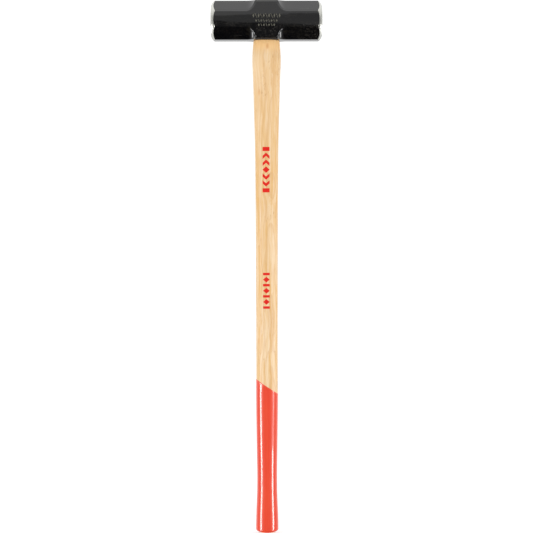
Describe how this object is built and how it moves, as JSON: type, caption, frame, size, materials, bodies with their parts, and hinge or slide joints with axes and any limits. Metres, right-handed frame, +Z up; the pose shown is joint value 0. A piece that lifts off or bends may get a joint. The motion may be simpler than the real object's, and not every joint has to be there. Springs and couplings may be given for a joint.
{
  "type": "sledge hammer",
  "caption": "Long double-faced sledge hammer: octagonal forged steel head wedged on an oval hickory handle with a dipped grip.",
  "frame": {"origin": "lowest point of the domed butt, on the handle's axis, with the hammer upright and its head up", "axes": "+Z up the handle to the head; X along the head from face to face; -Y is the stamped front, +Y the plain back"},
  "size_m": [0.19, 0.066, 0.9],
  "materials": {
    "head": "gloss black lacquer over forged steel, with the two striking faces ground bright",
    "handle": "hickory, long straight grain, thin clear lacquer",
    "wooden_wedge": "hardwood wedge, sawn end grain",
    "steel_wedge": "barbed mild steel, dull",
    "grip_coating": "dipped red gloss lacquer"
  },
  "bodies": {
    "root": {"head": "head", "handle": "handle", "wooden_wedge": "wooden_wedge", "steel_wedge_left": "steel_wedge", "steel_wedge_right": "steel_wedge", "grip_coating": "grip_coating"}
  },
  "joints": []
}
